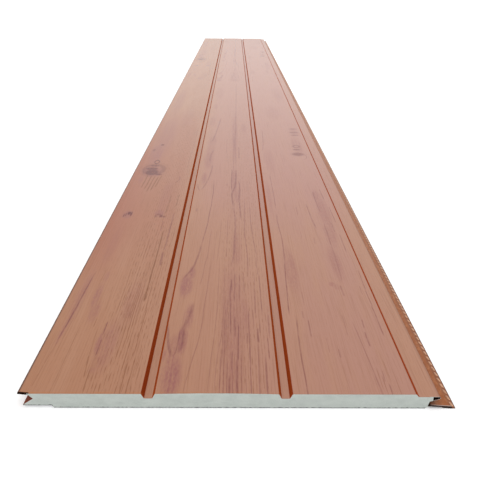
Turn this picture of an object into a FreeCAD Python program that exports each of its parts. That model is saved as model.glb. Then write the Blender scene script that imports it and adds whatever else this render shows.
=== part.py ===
"""Insulated metal siding panel: rolled steel face sheet, rigid foam core and foil back.

X runs across the panel, from the lip edge to the nailing flange. Y runs along its length.
Z runs up from the back, so the panel lies on its back with the printed face up.
All sizes are in millimetres.

The three sections are drawn from the module line at the lip, as chains of straight runs and bends.
The sheet's chain follows its core side, so the core shares those corners and seats on them.
"""
import FreeCAD
import Part
import Sketcher
import math
import os

doc = FreeCAD.newDocument("siding_panel")
sheet = doc.addObject("Spreadsheet::Sheet", "Sizes")

SIZES = [
    ("panel_length", "3800", "along the planks"),
    ("cover_width", "383", "module line to that of the next panel"),
    ("panel_thick", "16", "printed face to back"),
    ("plank_count", "3", "planks across the cover width"),
    ("plank_crown", "0.9", "bulge of the middle plank over the foam"),
    ("groove_top", "13", "groove width at the face, also of the joint"),
    ("groove_floor", "8", "groove width at its floor"),
    ("groove_depth", "5", "face to groove floor"),
    ("sheet_gauge", "0.3", "steel face sheet"),
    ("foil_gauge", "0.06", "aluminium backing"),
    ("bend_radius", "0.5", "inner radius of a bend"),
    ("hem_gap", "1.1", "open gap inside the lip"),
    ("lip_setback", "1.2", "module line to lip end, the play of a joint"),
    ("lip_rise", "1.0", "rise of the lip's end over the face"),
    ("lip_reach", "10.6", "module line to notch mouth"),
    ("notch_reach", "15.2", "module line to notch apex"),
    ("notch_drop", "5.8", "face to notch apex"),
    ("leg_inset", "5.4", "module line to the tip of the lower leg"),
    ("leg_nose", "1.0", "blunt height of the leg's tip"),
    ("rebate_depth", "2.6", "back to the underside of the leg"),
    ("rebate_width", "26.4", "leg tip to the end of the rebate"),
    ("rebate_run", "1.7", "slope from the rebate to the back"),
    ("step_depth", "2.8", "face to shelf"),
    ("step_run", "2.2", "slope from face to shelf"),
    ("lock_gap", "0.9", "tongue end to the next panel's notch mouth"),
    ("tongue_gap", "1.8", "open gap at the tongue's folded end"),
    ("tongue_hem", "9.4", "width of the tongue's folded layer"),
    ("tongue_taper", "3.3", "fall of the folded layer towards its root"),
    ("tongue_fill", "3.0", "foam's reach into the tongue from its root"),
    ("lock_depth", "6.9", "next panel's leg tip to the bottom of the V"),
    ("flange_width", "26.5", "bottom of the V to the flange's edge"),
    ("flange_rise", "2.5", "back to the flange's underside at its root"),
    ("flange_gap", "0.4", "gap inside the flange's folded edge"),
    ("flange_return", "12", "width of the flange's folded edge"),
    ("core_fill", "1.0", "foam's reach into the lip and the flange root"),
    ("toe_run", "3.2", "slope from the flange root to the back"),
]
for row, (alias, amount, note) in enumerate(SIZES, start=1):
    sheet.set(f"A{row}", alias)
    sheet.set(f"B{row}", amount)
    sheet.set(f"C{row}", note)
    sheet.setAlias(f"B{row}", alias)
doc.recompute()

# Share of a hem's gap taken by each of its two rounded corners.
HEM_ROUND = 0.4
# Share of the middle plank's half width that its crown's arc takes up.
CROWN_SPAN = 0.8

# Levels of the chains, as expressions.
UNDER_FACE = "(Sizes.panel_thick - Sizes.sheet_gauge)"
UNDER_GROOVE = f"({UNDER_FACE} - Sizes.groove_depth)"
UNDER_SHELF = f"({UNDER_FACE} - Sizes.step_depth)"
LIP_LAYER = f"({UNDER_FACE} - Sizes.hem_gap)"
TONGUE_LAYER = f"({UNDER_SHELF} - Sizes.tongue_gap)"
TONGUE_ROOT_Z = f"({TONGUE_LAYER} - Sizes.tongue_taper)"
REBATE_Z = "(Sizes.rebate_depth + Sizes.foil_gauge)"
EDGE_Z = "(Sizes.sheet_gauge + Sizes.flange_gap)"

# Places across the panel, from the module line.
LIP_END = "(Sizes.lip_setback + Sizes.sheet_gauge)"
LIP_SLOPE = f"(Sizes.lip_rise / (Sizes.lip_reach - {LIP_END}))"
LIP_FILL_RISE = f"({LIP_SLOPE} * Sizes.core_fill)"
PLANK_PITCH = "(Sizes.cover_width / Sizes.plank_count)"
HALF_PLANK = f"(({PLANK_PITCH} - Sizes.groove_top) / 2)"
GROOVE_WALL = "((Sizes.groove_top - Sizes.groove_floor) / 2)"
STEP_X = "(Sizes.cover_width - Sizes.groove_top)"
TONGUE_END = "(Sizes.cover_width + Sizes.lip_reach - Sizes.lock_gap - Sizes.sheet_gauge)"
TONGUE_ROOT = f"({TONGUE_END} - Sizes.tongue_hem)"
TONGUE_FILL = f"({TONGUE_ROOT} + Sizes.tongue_fill)"
VEE_X = "(Sizes.cover_width + Sizes.leg_inset - Sizes.lock_depth)"
FLANGE_END = f"({VEE_X} + Sizes.flange_width)"
FLANGE_EDGE = f"({FLANGE_END} - Sizes.sheet_gauge)"
MIDDLE = f"((Sizes.lip_setback + {FLANGE_END}) / 2)"
FLANGE_SLOPE = f"((Sizes.flange_rise - {EDGE_Z}) / ({FLANGE_EDGE} - {VEE_X}))"
CORE_TOE = f"({VEE_X} + Sizes.core_fill)"
REBATE_END = "(Sizes.leg_inset + Sizes.rebate_width)"
LIP_FILL = "(Sizes.lip_reach - Sizes.core_fill)"

# Radii on the core side of the sheet: a bend away from the core, and one towards it.
SHARP = None
OUTWARD = "Sizes.bend_radius"
INWARD = "(Sizes.bend_radius + Sizes.sheet_gauge)"
LIP_HEM = f"({HEM_ROUND} * Sizes.hem_gap)"
TONGUE_HEM = f"({HEM_ROUND} * Sizes.tongue_gap)"
FLANGE_HEM = f"({HEM_ROUND} * Sizes.flange_gap)"


def amount_of(expression):
    """Work an expression out with the sheet's present sizes."""
    return float(sheet.evalExpression(expression))


def groove_corners(number):
    """Corners of one groove, which ends its plank's share of the cover width."""
    start = f"({number} * {PLANK_PITCH} - Sizes.groove_top)"
    end = f"({number} * {PLANK_PITCH})"
    return [
        (start, UNDER_FACE, OUTWARD),
        (f"{start} + {GROOVE_WALL}", UNDER_GROOVE, INWARD),
        (f"{end} - {GROOVE_WALL}", UNDER_GROOVE, INWARD),
        (end, UNDER_FACE, OUTWARD),
    ]


def crown_corner(number):
    """Corner over a plank's middle, rounded so widely that the plank bulges."""
    middle = f"({number} * {PLANK_PITCH} + {HALF_PLANK})"
    rise = f"(Sizes.plank_crown / (1 - {CROWN_SPAN} / 2))"
    return (middle, f"{UNDER_FACE} + {rise}", f"{CROWN_SPAN} * {HALF_PLANK}^2 / {rise}")


def plank_corners():
    """Corners of the planked face, from the lip's root to the shelf."""
    count = int(amount_of("Sizes.plank_count"))
    corners = [("Sizes.lip_reach", UNDER_FACE, SHARP)]
    for number in range(count):
        if number > 0:
            corners += groove_corners(number)
        if number == count // 2:
            corners.append(crown_corner(number))
    corners.append((STEP_X, UNDER_FACE, OUTWARD))
    corners.append((f"{STEP_X} + Sizes.step_run", UNDER_SHELF, INWARD))
    return corners


NOTCH = [
    ("Sizes.leg_inset", REBATE_Z, SHARP),
    ("Sizes.leg_inset", f"{REBATE_Z} + Sizes.leg_nose", OUTWARD),
    ("Sizes.notch_reach", "Sizes.panel_thick - Sizes.notch_drop", INWARD),
    ("Sizes.lip_reach", LIP_LAYER, INWARD),
]
LIP = [
    (LIP_END, f"{LIP_LAYER} + Sizes.lip_rise", LIP_HEM),
    (LIP_END, f"{UNDER_FACE} + Sizes.lip_rise", LIP_HEM),
]
TONGUE = [
    (TONGUE_END, UNDER_SHELF, TONGUE_HEM),
    (TONGUE_END, TONGUE_LAYER, TONGUE_HEM),
]
VEE = [
    (TONGUE_ROOT, TONGUE_ROOT_Z, INWARD),
    (VEE_X, "Sizes.flange_rise", INWARD),
]
FLANGE = [
    (FLANGE_EDGE, EDGE_Z, FLANGE_HEM),
    (FLANGE_EDGE, "Sizes.sheet_gauge", FLANGE_HEM),
    (
        f"{FLANGE_EDGE} - Sizes.flange_return",
        f"Sizes.sheet_gauge + {FLANGE_SLOPE} * Sizes.flange_return",
        SHARP,
    ),
]
LIP_PLUG = [
    (LIP_FILL, f"{LIP_LAYER} + {LIP_FILL_RISE}", SHARP),
    (LIP_FILL, f"{UNDER_FACE} + {LIP_FILL_RISE}", SHARP),
]
TONGUE_PLUG = [
    (TONGUE_FILL, UNDER_SHELF, SHARP),
    (TONGUE_FILL, f"{TONGUE_ROOT_Z} + Sizes.tongue_taper * Sizes.tongue_fill / Sizes.tongue_hem", SHARP),
]
BACK = [
    (CORE_TOE, f"Sizes.flange_rise - {FLANGE_SLOPE} * Sizes.core_fill", SHARP),
    (f"{CORE_TOE} - Sizes.toe_run", "Sizes.foil_gauge", SHARP),
    (f"{REBATE_END} + Sizes.rebate_run", "Sizes.foil_gauge", SHARP),
    (REBATE_END, REBATE_Z, SHARP),
]
LEG_EDGE = [("Sizes.leg_inset - Sizes.sheet_gauge", REBATE_Z, SHARP)]


def pin(sketch, geometry, vertex, x_expression, z_expression):
    """Hold a vertex at its place from the sketch's origin."""
    vertex_place = [("DistanceX", x_expression), ("DistanceY", z_expression)]
    for kind, expression in vertex_place:
        held = Sketcher.Constraint(kind, -1, 1, geometry, vertex, amount_of(expression))
        index = sketch.addConstraint(held)
        sketch.setExpression(f"Constraints[{index}]", expression)


def bend_arc(before, corner, after, radius):
    """Arc that rounds a corner, with the points where it is entered and left."""
    arriving = (corner - before).normalize()
    leaving = (after - corner).normalize()
    turn = math.atan2(arriving.x * leaving.y - arriving.y * leaving.x, arriving.dot(leaving))
    setback = radius * math.tan(abs(turn) / 2)
    enter = corner - arriving * setback
    leave = corner + leaving * setback
    inward = FreeCAD.Vector(-arriving.y, arriving.x, 0) * math.copysign(radius, turn)
    centre = enter + inward
    first, last = (enter, leave) if turn > 0 else (leave, enter)
    start = math.atan2(first.y - centre.y, first.x - centre.x)
    stop = math.atan2(last.y - centre.y, last.x - centre.x)
    circle = Part.Circle(centre, FreeCAD.Vector(0, 0, 1), radius)
    return Part.ArcOfCircle(circle, start, stop), enter, leave, turn > 0


def join_bend(sketch, line_in, line_out, corner, arc, turns_left, radius_expression):
    """Draw a bend between two runs and return the point that marks its corner."""
    bend = sketch.addGeometry(arc, False)
    mark = sketch.addGeometry(Part.Point(corner), True)
    bend_in, bend_out = (1, 2) if turns_left else (2, 1)
    sketch.addConstraint([
        Sketcher.Constraint("Tangent", line_in, 2, bend, bend_in),
        Sketcher.Constraint("Tangent", bend, bend_out, line_out, 1),
        Sketcher.Constraint("PointOnObject", mark, 1, line_in),
        Sketcher.Constraint("PointOnObject", mark, 1, line_out),
    ])
    held = sketch.addConstraint(Sketcher.Constraint("Radius", bend, arc.Radius))
    sketch.setExpression(f"Constraints[{held}]", radius_expression)
    return mark


def draw_chain(sketch, corners, closed):
    """Draw straight runs through the corners and bend them to their radii."""
    places = [FreeCAD.Vector(amount_of(x), amount_of(z), 0) for x, z, radius in corners]
    count = len(corners)
    bends = {}
    enters = list(places)
    leaves = list(places)
    for number, (x, z, radius) in enumerate(corners):
        if radius is not SHARP:
            after = places[(number + 1) % count]
            arc, enter, leave, turns_left = bend_arc(
                places[number - 1], places[number], after, amount_of(radius))
            bends[number] = arc, turns_left
            enters[number] = enter
            leaves[number] = leave
    runs = count if closed else count - 1
    for number in range(runs):
        run = Part.LineSegment(leaves[number], enters[(number + 1) % count])
        sketch.addGeometry(run, False)
    for number, (x, z, radius) in enumerate(corners):
        line_in = (number - 1) % count
        line_out = number
        if not closed and number == 0:
            pin(sketch, line_out, 1, x, z)
        elif not closed and number == count - 1:
            pin(sketch, line_in, 2, x, z)
        elif number in bends:
            arc, turns_left = bends[number]
            mark = join_bend(sketch, line_in, line_out, places[number], arc, turns_left, radius)
            pin(sketch, mark, 1, x, z)
        else:
            sketch.addConstraint(Sketcher.Constraint("Coincident", line_in, 2, line_out, 1))
            pin(sketch, line_out, 1, x, z)


def layer(name, corners, gauge):
    """Extrude a strip of even gauge that lies along an open chain of corners."""
    line = doc.addObject("Sketcher::SketchObject", f"{name}_line")
    line.Placement.Rotation = FreeCAD.Rotation(FreeCAD.Vector(1, 0, 0), 90)
    line.setExpression("Placement.Base.x", f"-{MIDDLE}")
    draw_chain(line, corners, False)
    section = doc.addObject("Part::Offset2D", f"{name}_section")
    section.Source = line
    section.Mode = "Skin"
    section.Join = "Intersection"
    section.Fill = True
    section.setExpression("Value", gauge)
    strip = doc.addObject("Part::Extrusion", name)
    strip.Base = section
    strip.DirMode = "Custom"
    strip.Dir = FreeCAD.Vector(0, 1, 0)
    strip.Symmetric = True
    strip.Solid = True
    strip.setExpression("LengthFwd", "Sizes.panel_length")
    return strip


def core(name, corners):
    """Pad the closed outline of the foam along the panel's length."""
    body = doc.addObject("PartDesign::Body", name)
    planes = {plane.Role: plane for plane in body.Origin.OriginFeatures}
    outline = body.newObject("Sketcher::SketchObject", f"{name}_outline")
    outline.AttachmentSupport = [(planes["XZ_Plane"], "")]
    outline.MapMode = "FlatFace"
    outline.setExpression("AttachmentOffset.Base.x", f"-{MIDDLE}")
    draw_chain(outline, corners, True)
    pad = body.newObject("PartDesign::Pad", f"{name}_pad")
    pad.Profile = outline
    pad.SideType = "Symmetric"
    pad.setExpression("Length", "Sizes.panel_length")
    return body


planks = plank_corners()
nodes = [
    layer("face_sheet", NOTCH + LIP + planks + TONGUE + VEE + FLANGE, "Sizes.sheet_gauge"),
    core("foam_core", NOTCH + LIP_PLUG + planks + TONGUE_PLUG + VEE + BACK),
    layer("backing_foil", BACK + LEG_EDGE, "Sizes.foil_gauge"),
]
doc.recompute()

for item in doc.Objects:
    if "Invalid" in item.State or "Error" in item.State:
        raise RuntimeError(f"{item.Label} failed: {item.State}")
for node in nodes:
    if node.Shape.isNull() or not node.Shape.isValid() or len(node.Shape.Solids) != 1:
        raise RuntimeError(f"{node.Label} has no single valid solid")

os.makedirs("parts", exist_ok=True)
for node in nodes:
    node.Shape.exportStep(f"parts/{node.Label}.step")
    box = node.Shape.BoundBox
    print(f"{node.Label}: {box.XLength:.2f} x {box.YLength:.2f} x {box.ZLength:.2f} mm")
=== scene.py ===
"""Looks of an insulated metal siding panel: wood-grain printed steel over a foam core with a foil back."""

import math
from collections import namedtuple

import bpy
import numpy as np
from mathutils import Matrix, Vector


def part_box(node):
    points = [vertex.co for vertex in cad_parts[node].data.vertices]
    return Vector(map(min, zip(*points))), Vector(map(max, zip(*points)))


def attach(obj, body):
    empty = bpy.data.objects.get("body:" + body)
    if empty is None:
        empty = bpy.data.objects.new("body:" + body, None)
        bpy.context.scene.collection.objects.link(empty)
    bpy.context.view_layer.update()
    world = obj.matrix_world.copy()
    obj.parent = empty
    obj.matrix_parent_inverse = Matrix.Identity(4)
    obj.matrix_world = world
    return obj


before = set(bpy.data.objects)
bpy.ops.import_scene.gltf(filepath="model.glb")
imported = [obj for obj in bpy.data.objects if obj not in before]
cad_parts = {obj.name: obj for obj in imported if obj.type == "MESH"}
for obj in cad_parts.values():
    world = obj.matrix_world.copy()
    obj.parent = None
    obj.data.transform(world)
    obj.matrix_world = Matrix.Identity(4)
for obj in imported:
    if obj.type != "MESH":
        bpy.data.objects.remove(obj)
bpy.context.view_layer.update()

bl_info = {
    "name": "Siding panel finishes",
    "version": (1, 0, 0),
    "blender": (4, 5, 0),
    "location": "3D View > Sidebar > Siding",
    "description": "Print, foam, foil, flange crimps and stage of an insulated metal siding panel",
    "category": "Object",
}

MM = 0.001

# The panel's box in metres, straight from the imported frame.
LOW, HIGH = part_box("face_sheet")
NEAR_END = LOW.y
PANEL_LENGTH = HIGH.y - LOW.y

# The print is laid out in millimetres: across from the joint line, which the open lip stops just short of,
# and along from the near end.
LIP_SETBACK = 1.2
PRINT_ORIGIN = (LIP_SETBACK - LOW.x / MM, -NEAR_END / MM, 0.0)
PRINT_WIDTH = HIGH.x / MM + PRINT_ORIGIN[0]

# Places of finishes and of painted shade on the rolled section: x across from the joint line, z up from the
# back. Two numbers say where a finish starts to show and where it is whole. Three say from where to where it
# is whole, and how soft it ends.
LIP_END_X = 1.5
LIP_ROOT_X = 10.6
LIP_RISE = 1.0
LIP_HOLLOW_X = (10.9, 10.7)
LIP_HOLLOW_Z = (14.58, 15.72, 0.02)
LIP_EDGE_SHADE_X = (3.8, 2.0)
LIP_END_SHADE_X = (11.7, 11.2)
LIP_END_SHADE_Z = (13.8, 14.0)
NOTCH_X = (18.0, 17.0)
NOTCH_Z = (14.3, 14.2)
STEP_SHADE_X = (369.7, 372.4, 0.5)
SHELF_X = (371.0, 373.0)
SHELF_Z = (11.5, 12.5)
SHELF_NOSE_X = (389.2, 392.2)
SHELF_UNDER_Z = (12.96, 12.92)
TONGUE_END_X = 392.4
TONGUE_ROOT_X = 383.0
TONGUE_FALL = 3.3
TONGUE_HOLLOW_X = (386.0, 392.45, 0.02)
TONGUE_LAYER_Z = (11.0, 11.05)
TONGUE_CUT_X = (382.0, 384.0)
TONGUE_CUT_Z = (7.0, 9.0)
VEE_X = (381.0, 383.6, 3.4)
VEE_Z = (9.5, 7.0)
BACKING_X = (381.0, 395.5, 0.1)
FLANGE_X = (360.0, 370.0)
FLANGE_Z = (6.0, 4.5)
FLANGE_PRESSED_X = (403.0, 406.5, 0.8)
FLANGE_EDGE_SHADE_X = (406.8, 407.3)
FLANGE_END_SHADE_X = (381.5, 404.0, 2.0)
FLANGE_END_SHADE_Z = (5.0, 4.0)
REBATE_END_X = (33.2, 31.8)
REBATE_TOP_Z = 2.6

# Marks of the saw, with a painted glint and painted shade beside them: how far they reach from a cut end, and
# where the amber rim of the planks lies.
RIM_REACH = (3.6, 0.8)
GLINT_REACH = (1.6, 2.2, 0.4)
END_SHADE_REACH = (1.7, 1.4)
RIM_X = (330.0, 20.0)
RIM_Z = (14.2, 14.5)

# Tilts of a face, as a part of its direction: steep across, cut across the length, and looking down.
STEEP_TILT = (0.12, 0.55)
CUT_TILT = (0.5, 0.9)
UNDER_TILT = (-0.3, -0.6)

# Tones of the plain wood, across and along, and how strong they are. The rosier tone of the middle and right
# planks away from the near end is a painted reflection, standing for the gloss that grows along the panel.
ROSE_X = (20.0, 360.0)
PINK_X = (120.0, 160.0)
PINK_Y = (340.0, 640.0)
PINK_SHARE = 0.45
STRAW_SHARE = 0.45
SHELF_STRAW_SHARE = 0.60
PORE_SHARE = 0.46
FIBRE_SHARE = 0.34

# Distance between the rows of pores, and the plank that has the most of them.
RING_PITCH = 3.4
LEFT_PLANK_X = (130.0, 110.0)

# Sizes of the noise in the print, across, along and up, and how far it pushes grain and figure aside.
DRIFT_SIZE = (60.0, 420.0, 50.0)
ZONE_SIZE = (22.0, 210.0, 50.0)
PORE_SIZE = (1.0, 15.0, 50.0)
FIBRE_SIZE = (1.7, 110.0, 50.0)
WANDER_SIZE = (12.0, 60.0, 50.0)
STRIP_SIZE = (2.6, 90.0, 50.0)
FLECK_SIZE = (1.3, 6.0, 50.0)
DASH_SIZE = (1.6, 12.0, 50.0)
BLOTCH_SIZE = (3.0, 7.0, 3.0)
PATCH_SIZE = (9.0, 50.0, 50.0)
SCUFF_SIZE = (1.4, 3.0, 1.0)
RAG_SIZE = (3.5, 50.0, 50.0)
DRIFT_REACH = 9.0
WANDER_REACH = 2.4

# Sizes of the noise in the foam, counted in cells, and in the foil, counted in creases.
FOAM_CLOUD_SIZE = (14.0, 14.0, 7.0)
DENT_SIZE = (1.6, 2.4, 1.6)
FOLD_SIZE = (1.4, 9.0, 1.4)

# Shape of a printed mark: the share of a line's length that fades out at each end, the share of a cloud
# and of a knot that is whole, the rim of a pale knot and the faint ring outside any knot.
LINE_END = 0.15
CLOUD_HEART = 0.30
KNOT_HEART = 0.55
KNOT_RIM = 0.72
KNOT_RING = 1.05
KNOT_RING_SHARE = 0.22

# Floor and lamps, in metres and degrees.
FLOOR_HALF = 40.0
FLOOR_DROP = -0.0002
FLOOR_LIFT = 0.20
LAMP_SPREAD = 70.0
LAMP_TILT = (14.0, -8.0, 0.0)
LAMP_PLACE = (0.0, 0.0, 3.0)
FILL_SIZE = (1.2, 2.2)
FILL_PLACE = (0.0, 0.6, 1.6)

# A zone of redder wood: where it starts to show and is whole across, where it lies along and how soft it
# ends there, and its strength.
Zone = namedtuple("Zone", "across along share")
RUSSET_ZONES = (
    Zone((122.0, 90.0), (500.0, 1100.0, 320.0), 0.42),
    Zone((62.0, 8.0), (380.0, 760.0, 260.0), 0.50),
)

# A band where pores crowd together: its middle, and how far from there it ends and is whole.
Band = namedtuple("Band", "middle outer inner")
PORE_BANDS = (Band(86.0, 34.0, 16.0), Band(211.0, 36.0, 20.0))

# A straight dash of dark print: where it starts and ends across, where it starts and ends along,
# its half width and how strongly it is inked.
Streak = namedtuple("Streak", "across_near across_far near far half_width ink")

# A line of dark print that bends: its half width, its strength and the places that it passes,
# each across and along.
Vein = namedtuple("Vein", "half_width ink places")

# A soft oval of mauve print: its middle, half width, half length and strength.
Cloud = namedtuple("Cloud", "across along half_width half_length ink")

# A knot: its middle, half width, half length, strength, and 1 for a pale heart or 0 for a dark one.
Knot = namedtuple("Knot", "across along half_width half_length ink pale")

# Brown lines of pores.
PORES = [Streak(*row) for row in (
    # Left plank, along the grain.
    (11.5, 12.5, 8, 48, 0.8, 0.46),
    (12.5, 15, 44, 90, 0.8, 0.37),
    (18.5, 20, 55, 150, 0.7, 0.30),
    (30.5, 31, -30, 128, 0.8, 0.34),
    (31, 32.5, 212, 264, 0.9, 0.34),
    (46, 46.5, 116, 136, 0.9, 0.52),
    (57, 53, 22, 64, 1.0, 0.55),
    (53, 51.5, 60, 116, 0.7, 0.34),
    (52, 49.5, 150, 218, 0.8, 0.34),
    (60.5, 60, 2, 40, 0.9, 0.63),
    (66, 65, 138, 262, 0.7, 0.41),
    (70.5, 71, 158, 218, 0.8, 0.55),
    (75, 75.5, 148, 264, 0.7, 0.48),
    (78, 78, 88, 178, 0.8, 0.55),
    (81.5, 81, 58, 252, 0.7, 0.48),
    (83.5, 83.5, 118, 264, 0.8, 0.60),
    (85.5, 85.5, 68, 222, 0.8, 0.60),
    (88, 88, 98, 292, 0.7, 0.51),
    (90.5, 90.5, 18, 202, 0.7, 0.48),
    (95, 94.5, -30, 54, 0.8, 0.60),
    (98.5, 99.5, 56, 164, 0.9, 0.69),
    (98, 98, 146, 234, 0.8, 0.55),
    (101, 101, -30, 64, 0.8, 0.48),
    (103, 103.5, 176, 294, 0.7, 0.41),
    (105, 106.5, 22, 78, 0.7, 0.41),
    (75.5, 76, 282, 368, 0.9, 0.48),
    (79, 80, 292, 348, 0.8, 0.44),
    (70, 70, 336, 388, 0.9, 0.41),
    (87.5, 88, 296, 366, 0.9, 0.57),
    (88, 88.5, 466, 570, 1.2, 0.80),
    (101.5, 102, 500, 566, 1.2, 0.80),
    (108, 109, 318, 424, 0.8, 0.44),
    (93.5, 93.5, 172, 224, 1.7, 1.00),
    (93.5, 93.2, 212, 302, 1.6, 1.00),
    (93, 92.3, 286, 400, 1.6, 1.00),
    # Left plank, the fan of lines before the large knot.
    (29, 31, 600, 690, 1.8, 1.00),
    (36, 39, 592, 688, 1.8, 1.00),
    (41.5, 46, 576, 682, 1.8, 1.00),
    (48, 53, 584, 676, 1.8, 0.95),
    (53.5, 58.5, 602, 684, 1.7, 0.80),
    # Right plank, by the near end.
    (340.5, 341, 4, 44, 0.8, 0.33),
    (343.5, 344, -30, 30, 0.8, 0.36),
    (350.5, 351, 16, 58, 0.8, 0.28),
    (355, 355.5, -30, 26, 0.7, 0.26),
)]

# Purple lines, plank by plank.
LEFT_STREAKS = [Streak(*row) for row in (
    (60, 60, 60, 94, 1.1, 0.75),
    (59.3, 59.3, 98, 130, 1.2, 0.80),
    (101.5, 100.5, 270, 322, 2.2, 0.61),
    (88.5, 88, 392, 438, 1.0, 0.71),
    (101.5, 101.5, 316, 480, 1.2, 0.90),
    (21, 16, 690, 738, 1.4, 0.68),
    (104, 107, 700, 1150, 1.2, 0.35),
)]

MIDDLE_STREAKS = [Streak(*row) for row in (
    (163, 166, 282, 408, 0.8, 0.41),
    (172, 174, 278, 404, 0.7, 0.32),
    (178, 180, 282, 444, 0.8, 0.37),
    (185, 185, 296, 364, 0.7, 0.32),
    (189.5, 190, 286, 458, 0.8, 0.41),
    (186.6, 187.2, -30, 64, 0.8, 0.56),
    (188.5, 188.5, 36, 144, 0.7, 0.43),
    (190.3, 190.5, -30, 174, 0.8, 0.58),
    (193.6, 193.8, -30, 56, 0.7, 0.54),
    (199.4, 199.2, -30, 44, 0.7, 0.52),
    (208, 208.4, -30, 70, 0.7, 0.41),
    (212, 212.5, -30, 48, 0.7, 0.38),
    (192, 192.5, 56, 184, 0.8, 0.43),
    (194, 194.5, 76, 154, 0.7, 0.43),
    (196, 196.3, -30, 30, 1.4, 0.79),
    (198.5, 199, 34, 72, 1.1, 0.61),
    (203.6, 203.8, -30, 58, 2.1, 0.63),
    (205, 205.5, 46, 126, 1.1, 0.79),
    (202, 201.5, 94, 142, 1.3, 0.69),
    (200.5, 201.5, 170, 254, 1.1, 0.60),
    (206.5, 207, 170, 256, 1.2, 0.56),
    (197, 197.2, 200, 234, 1.4, 0.69),
    (214.5, 215, 82, 106, 1.7, 0.48),
    (217, 217, -30, 162, 1.0, 0.69),
    (213.5, 212, 192, 258, 1.0, 0.53),
    (222, 222, 116, 158, 0.9, 0.43),
    (225, 225.5, -30, 94, 0.8, 0.50),
    (226, 226, 84, 116, 1.9, 0.63),
    (228.5, 229, 104, 126, 1.2, 0.44),
    (225, 225.5, 142, 198, 1.0, 0.53),
    (226, 226, 186, 258, 0.8, 0.43),
    (231.5, 232.3, -30, 66, 1.2, 0.61),
    (232.5, 232.5, 142, 252, 1.2, 0.56),
    (231.5, 230.5, 242, 304, 1.0, 0.49),
    (236, 236.5, 54, 98, 1.0, 0.57),
    (238.8, 239.5, 92, 148, 1.4, 0.43),
    (187, 187, 612, 630, 2.2, 0.38),
    (138, 138, 478, 496, 2.2, 0.40),
    (210, 210, 800, 912, 2.2, 0.53),
    (198, 198.5, 700, 1000, 1.9, 0.37),
    (203, 203.5, 1000, 1330, 2.2, 0.40),
    (204, 206, 1290, 1870, 2.6, 0.45),
    (182, 183, 836, 988, 1.2, 0.37),
)]

RIGHT_STREAKS = [Streak(*row) for row in (
    (284, 284.3, 96, 136, 1.2, 0.49),
    (279, 279.5, 136, 154, 1.1, 0.49),
    (283.5, 283.5, 166, 204, 0.8, 0.32),
    (299, 299, 66, 98, 0.9, 0.27),
    (300, 301, 362, 398, 0.8, 0.32),
    (304, 305, 466, 508, 1.1, 0.38),
    (309, 309.5, 58, 76, 1.4, 0.36),
    (318.5, 319.5, 346, 376, 1.1, 0.37),
    (323.5, 323.5, 98, 148, 0.9, 0.32),
    (334, 334.2, 188, 220, 1.7, 0.48),
    (341, 342, 336, 434, 1.4, 0.54),
    (342.3, 342.5, 476, 594, 1.9, 0.51),
    (343.3, 343, 78, 110, 1.4, 0.53),
    (344, 345, 116, 136, 1.2, 0.46),
    (345, 346, 18, 38, 1.0, 0.36),
    (347.3, 348, -30, 18, 1.0, 0.51),
    (353.5, 354.5, 392, 436, 1.1, 0.43),
    (357, 358, 192, 218, 1.0, 0.37),
    (357, 356.5, 540, 604, 1.4, 0.59),
    (359, 359.5, 316, 388, 1.2, 0.49),
    (361, 361, 430, 512, 1.4, 0.59),
    (362.5, 362, 98, 170, 1.2, 0.58),
    (363.3, 363.2, 162, 208, 1.0, 0.49),
    (364, 364.3, 202, 266, 1.0, 0.49),
)]

STREAKS = LEFT_STREAKS + MIDDLE_STREAKS + RIGHT_STREAKS

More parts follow.
